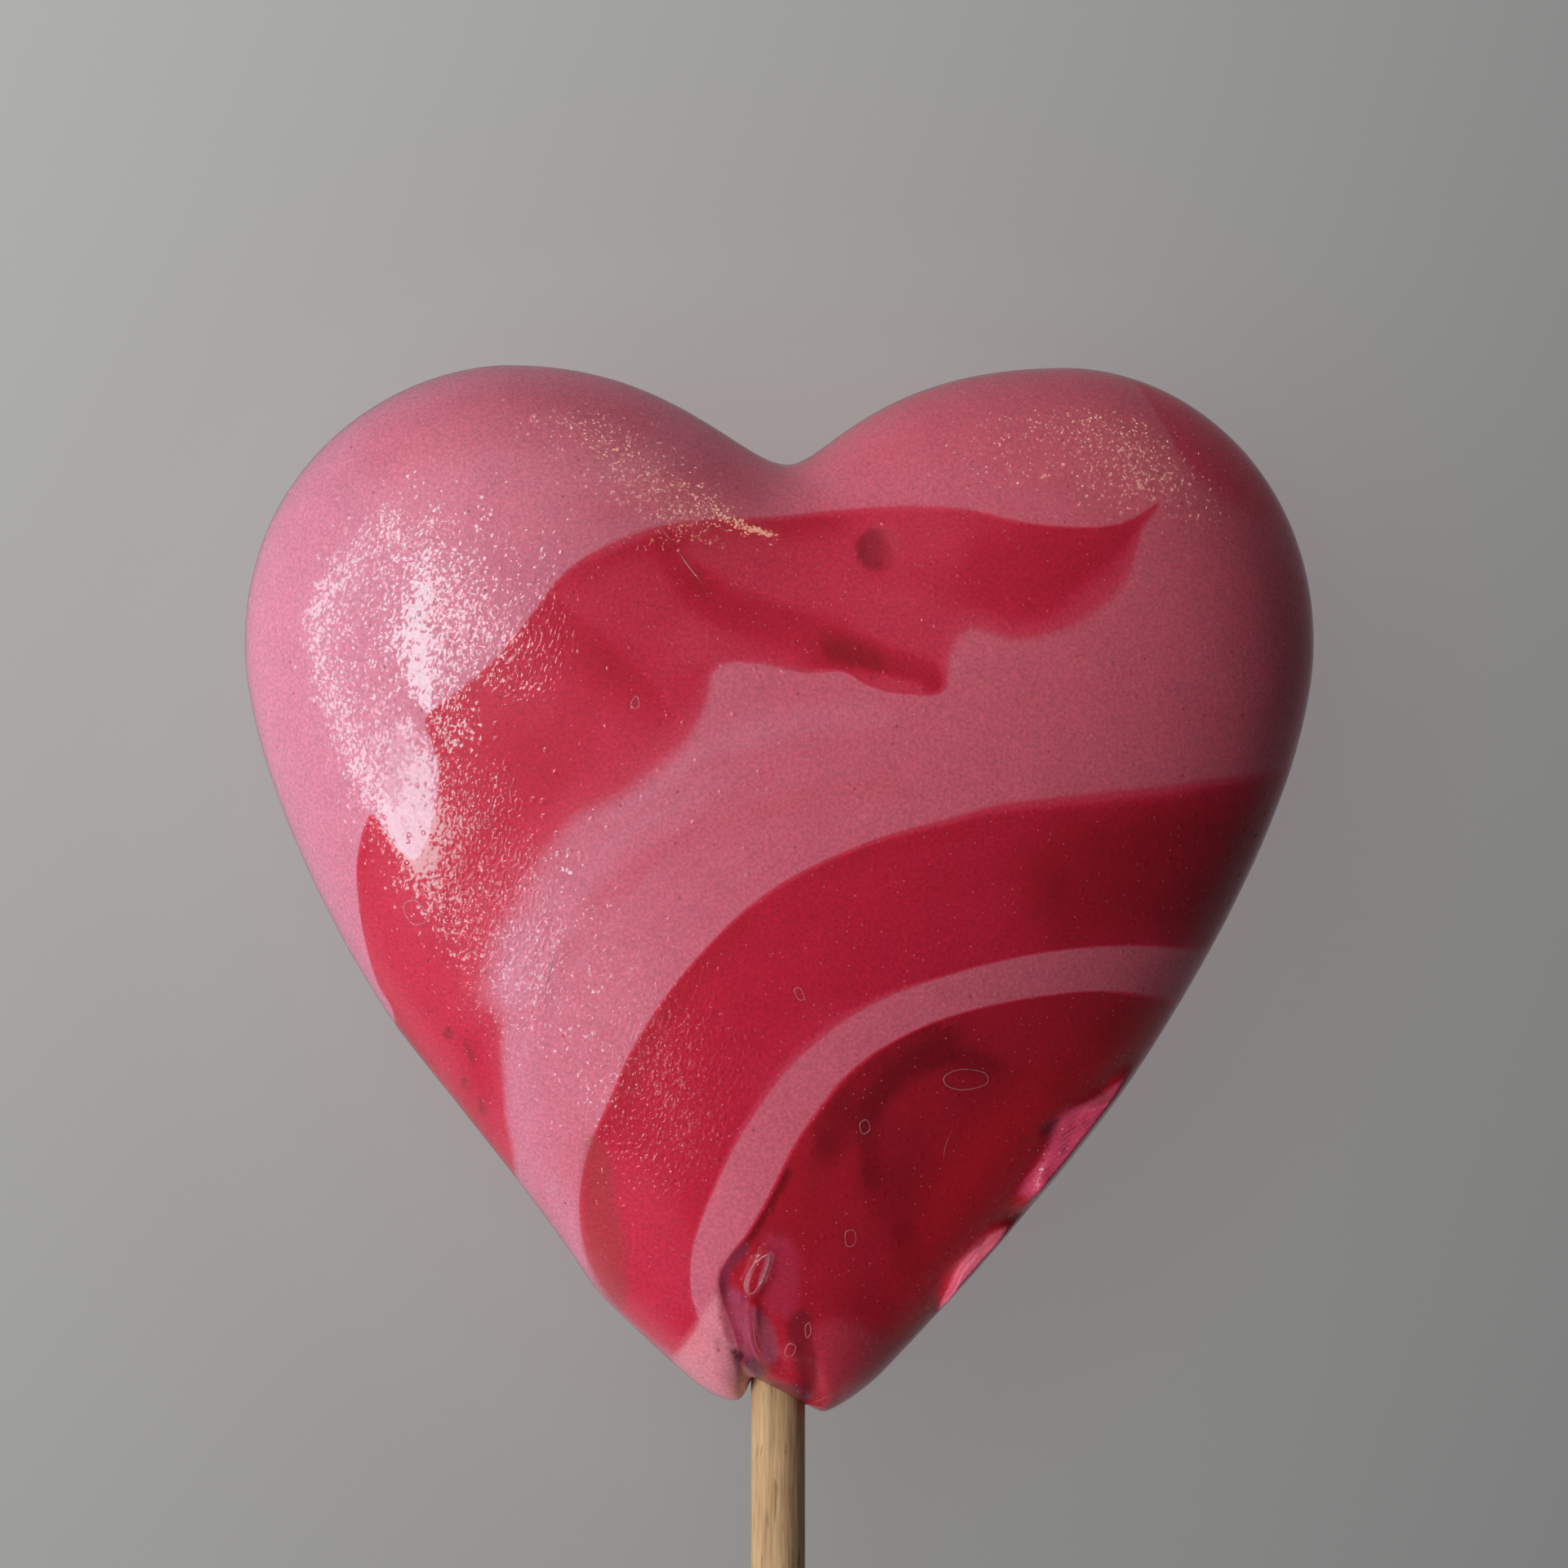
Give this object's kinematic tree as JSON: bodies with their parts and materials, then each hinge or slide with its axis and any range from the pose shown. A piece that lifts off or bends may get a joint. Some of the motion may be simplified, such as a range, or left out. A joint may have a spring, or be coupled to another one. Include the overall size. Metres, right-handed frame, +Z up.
{
  "type": "heart lollipop",
  "caption": "Puffed heart of marbled pink and red boiled sugar on a round wooden stick, lying face up.",
  "frame": {"origin": "middle of the heart, on the flat spot of the back face that it lies on", "axes": "+Z up out of the shown face, +Y from the stick towards the two lobes, +X to the shown face's right"},
  "size_m": [0.0786, 0.1863, 0.0282],
  "materials": {
    "sugar": "glossy boiled sugar, milky pink marbled with clear deep red, with a fine dimpled skin",
    "wood": "plain unsealed pale wood with short dark grain lines"
  },
  "bodies": {
    "root": {"candy_heart": "sugar", "stick": "wood"}
  },
  "joints": []
}
